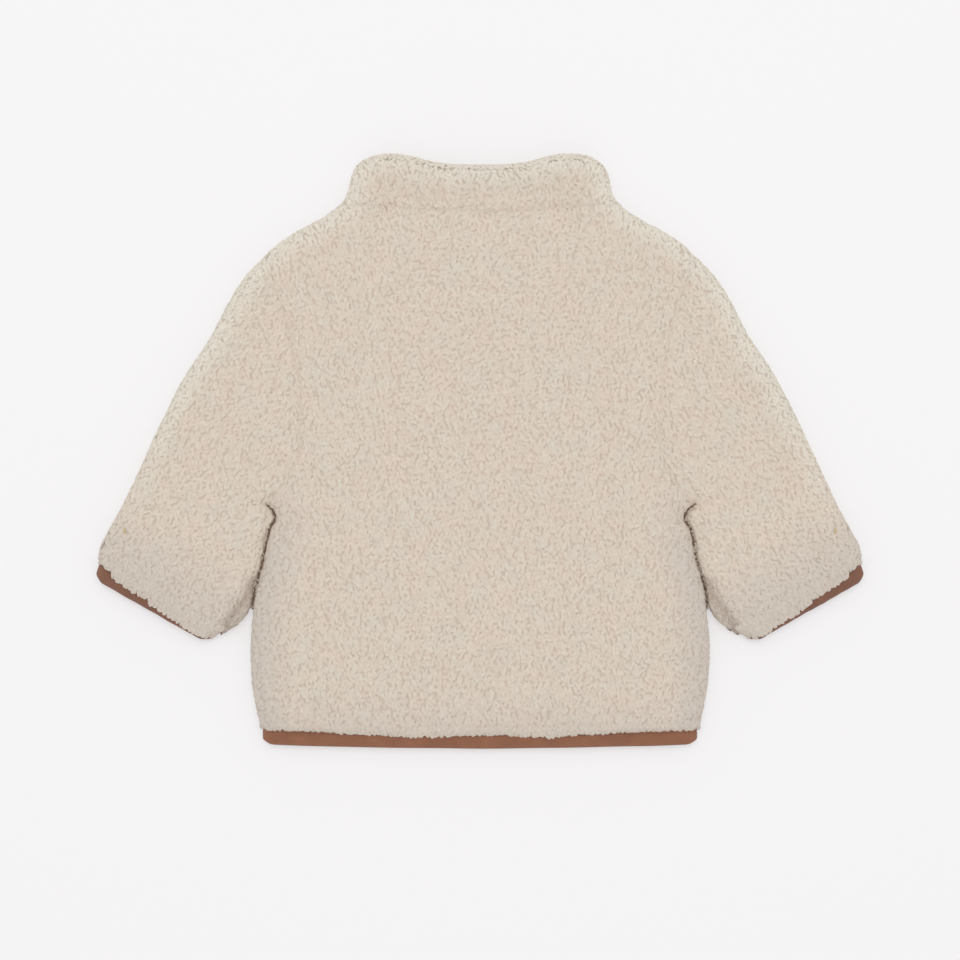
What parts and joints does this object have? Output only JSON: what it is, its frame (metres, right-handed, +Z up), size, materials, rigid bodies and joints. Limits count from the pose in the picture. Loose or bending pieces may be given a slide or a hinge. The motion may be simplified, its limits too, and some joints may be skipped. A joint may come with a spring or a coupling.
{
  "type": "sherpa jacket",
  "caption": "Small child's cream sherpa pile jacket with stand collar, dropped sleeves and brown bound hem and cuffs, laid flat face down and showing its back",
  "frame": {"origin": "on the surface that the jacket lies on, under the middle of its overall width and length", "axes": "+X runs across the garment to the wearer's right sleeve, which is on the right of the picture; +Y runs up the centre back from the hem to the collar; +Z points up off the surface, out of the back"},
  "size_m": [0.5042, 0.3892, 0.0211],
  "materials": {
    "sherpa": "curly cream pile, matt and soft",
    "binding": "brown jersey tape, matt",
    "zip_tape": "woven tape, matt",
    "zip_metal": "satin metal"
  },
  "bodies": {
    "jacket": {"back": "sherpa", "front_left": "sherpa", "front_right": "sherpa", "sleeve_left": "sherpa", "sleeve_right": "sherpa", "collar": "sherpa", "hem_binding": "binding", "cuff_binding_left": "binding", "cuff_binding_right": "binding", "zip_tape_left": "zip_tape", "zip_tape_right": "zip_tape", "zip_box": "zip_metal", "zip_slider": "zip_metal"},
    "pull": {"zip_pull": "zip_metal"}
  },
  "joints": [
    {"name": "pull_hinge", "type": "hinge", "parent": "jacket", "child": "pull", "pos_m": [0, 0.1425, 0.0025], "axis": [1, 0, 0], "range_deg": [0, 150]}
  ]
}
